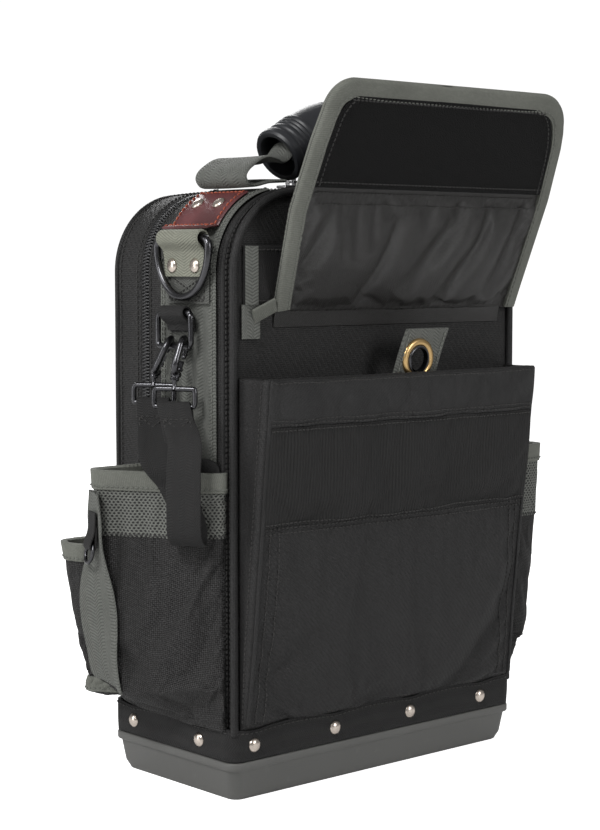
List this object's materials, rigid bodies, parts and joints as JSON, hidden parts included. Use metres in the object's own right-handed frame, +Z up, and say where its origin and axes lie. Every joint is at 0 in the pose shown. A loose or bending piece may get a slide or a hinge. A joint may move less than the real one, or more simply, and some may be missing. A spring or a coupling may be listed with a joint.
{
  "type": "electrician tool pouch",
  "caption": "Upright black tool bag on a grey moulded base with a raised tablet-pocket flap, zipped cover, side pockets, carry handle and tape strap.",
  "frame": {"origin": "centre of the moulded base's underside", "axes": "+Z up, +X across the width, -Y towards the tablet pocket, +Y towards the zipped cover"},
  "size_m": [0.3112, 0.1866, 0.4026],
  "materials": {
    "base_plastic": "fine moulded texture",
    "black_fabric": "coarse twill weave",
    "lining_fabric": "smooth coated weave",
    "binding": "ribbed grosgrain",
    "grey_webbing": "coarse webbing",
    "black_webbing": "ribbed webbing",
    "hook_tape": "fuzzy hook and loop",
    "loop_tape": "ribbed loop pile",
    "leather": "waxed",
    "rivet_metal": "nickel",
    "dark_metal": "black nickel",
    "brass": "satin",
    "zipper_coil": "woven coil",
    "slider_metal": "polished",
    "grip_rubber": "satin",
    "stitching": "thread"
  },
  "bodies": {
    "root": {"base_tub": "base_plastic", "base_band": "black_webbing", "front_piping": "black_webbing", "panel_webbing": "black_webbing", "small_ring_tab": "black_webbing", "back_cuff": "black_fabric", "front_panel": "black_fabric", "gusset_shell": "black_fabric", "tool_pocket_lower": "black_fabric", "tool_pocket_upper": "black_fabric", "tablet_pocket": "black_fabric", "pocket_hem": "black_fabric", "side_pocket_left": "black_fabric", "side_pocket_right": "black_fabric", "base_rivet_front_1": "rivet_metal", "base_rivet_front_2": "rivet_metal", "base_rivet_front_3": "rivet_metal", "base_rivet_front_4": "rivet_metal", "base_rivet_back_1": "rivet_metal", "base_rivet_back_2": "rivet_metal", "base_rivet_back_3": "rivet_metal", "base_rivet_back_4": "rivet_metal", "base_rivet_left_1": "rivet_metal", "base_rivet_left_2": "rivet_metal", "base_rivet_right_1": "rivet_metal", "base_rivet_right_2": "rivet_metal", "tool_panel": "lining_fabric", "loop_band": "loop_tape", "side_strap_left": "grey_webbing", "side_strap_right": "grey_webbing", "ring_tab_left": "grey_webbing", "ring_tab_right": "grey_webbing", "handle_webbing_left": "grey_webbing", "handle_webbing_right": "grey_webbing", "leather_patch_left": "leather", "leather_patch_right": "leather", "zipper_chain_bag": "zipper_coil"},
    "flap_lower": {"flap_lower": "lining_fabric"},
    "flap_upper": {"flap_upper": "black_fabric", "flap_hook_panel": "hook_tape"},
    "grommet_tab": {"grommet_tab": "grey_webbing", "grommet_ring": "brass"},
    "handle": {"handle_grip": "grip_rubber"},
    "cover": {"back_cover": "black_fabric", "zipper_chain_cover": "zipper_coil", "rear_pocket": "black_fabric", "corner_pocket_left": "black_fabric", "corner_pocket_right": "black_fabric"},
    "d_ring_left": {"d_ring_left": "dark_metal"},
    "d_ring_right": {"d_ring_right": "dark_metal"},
    "small_ring": {"small_d_ring": "dark_metal"},
    "tape_loop": {"hook_body_front": "dark_metal", "hook_eye_front": "dark_metal", "hook_body_rear": "dark_metal", "hook_eye_rear": "dark_metal", "tape_strap": "black_webbing"},
    "gate_front": {"hook_gate_front": "dark_metal"},
    "gate_rear": {"hook_gate_rear": "dark_metal"},
    "slider": {"zipper_slider": "slider_metal"},
    "pull": {"zipper_pull": "slider_metal"}
  },
  "joints": [
    {"name": "flap_lift", "type": "hinge", "parent": "root", "child": "flap_lower", "pos_m": [0.006, -0.0578, 0.277], "axis": [1, 0, 0], "range_deg": [0, 118]},
    {"name": "flap_fold", "type": "hinge", "parent": "flap_lower", "child": "flap_upper", "pos_m": [0.006, -0.07503, 0.31965], "axis": [1, 0, 0], "range_deg": [0, 46]},
    {"name": "grommet_tab_lean", "type": "hinge", "parent": "root", "child": "grommet_tab", "pos_m": [0, -0.07444, 0.222], "axis": [1, 0, 0], "range_deg": [-27, 0]},
    {"name": "handle_tilt", "type": "hinge", "parent": "root", "child": "handle", "pos_m": [0, -0.017, 0.366], "axis": [1, 0, 0], "range_deg": [-35, 35]},
    {"name": "cover_open", "type": "hinge", "parent": "root", "child": "cover", "pos_m": [0, 0.0548, 0.0454], "axis": [-1, 0, 0], "range_deg": [0, 90]},
    {"name": "d_ring_left_swing", "type": "hinge", "parent": "root", "child": "d_ring_left", "pos_m": [-0.1213, -0.02, 0.318], "axis": [0, 1, 0], "range_deg": [0, 150]},
    {"name": "d_ring_right_swing", "type": "hinge", "parent": "root", "child": "d_ring_right", "pos_m": [0.1213, -0.02, 0.318], "axis": [0, -1, 0], "range_deg": [0, 150]},
    {"name": "small_ring_swing", "type": "hinge", "parent": "root", "child": "small_ring", "pos_m": [-0.1233, -0.015, 0.2765], "axis": [0, 1, 0], "range_deg": [0, 60]},
    {"name": "tape_loop_swing", "type": "hinge", "parent": "small_ring", "child": "tape_loop", "pos_m": [-0.1233, -0.015, 0.257], "axis": [0, 1, 0], "range_deg": [0, 40]},
    {"name": "gate_front_press", "type": "hinge", "parent": "tape_loop", "child": "gate_front", "pos_m": [-0.12594, -0.02201, 0.24384], "axis": [0.5708, -0.8022, -0.1751], "range_deg": [0, 18], "stiffness_Nm_per_rad": 0.03, "springref_deg": -11.46},
    {"name": "gate_rear_press", "type": "hinge", "parent": "tape_loop", "child": "gate_rear", "pos_m": [-0.12317, -0.00094, 0.24586], "axis": [0.6063, -0.6614, -0.4415], "range_deg": [0, 18], "stiffness_Nm_per_rad": 0.03, "springref_deg": -11.46},
    {"name": "zipper_run", "type": "hinge", "parent": "root", "child": "slider", "pos_m": [0, 0.02555, -0.25169], "axis": [0, 1, 0], "range_deg": [-6, 6]},
    {"name": "zipper_pull_flip", "type": "hinge", "parent": "slider", "child": "pull", "pos_m": [0, 0.02555, 0.354], "axis": [0, -1, 0], "range_deg": [0, 150]}
  ],
  "couplings": [
    {"joint": "flap_fold", "follows": "flap_lift", "ratio": 0.3826},
    {"joint": "grommet_tab_lean", "follows": "flap_lift", "ratio": -0.22}
  ]
}
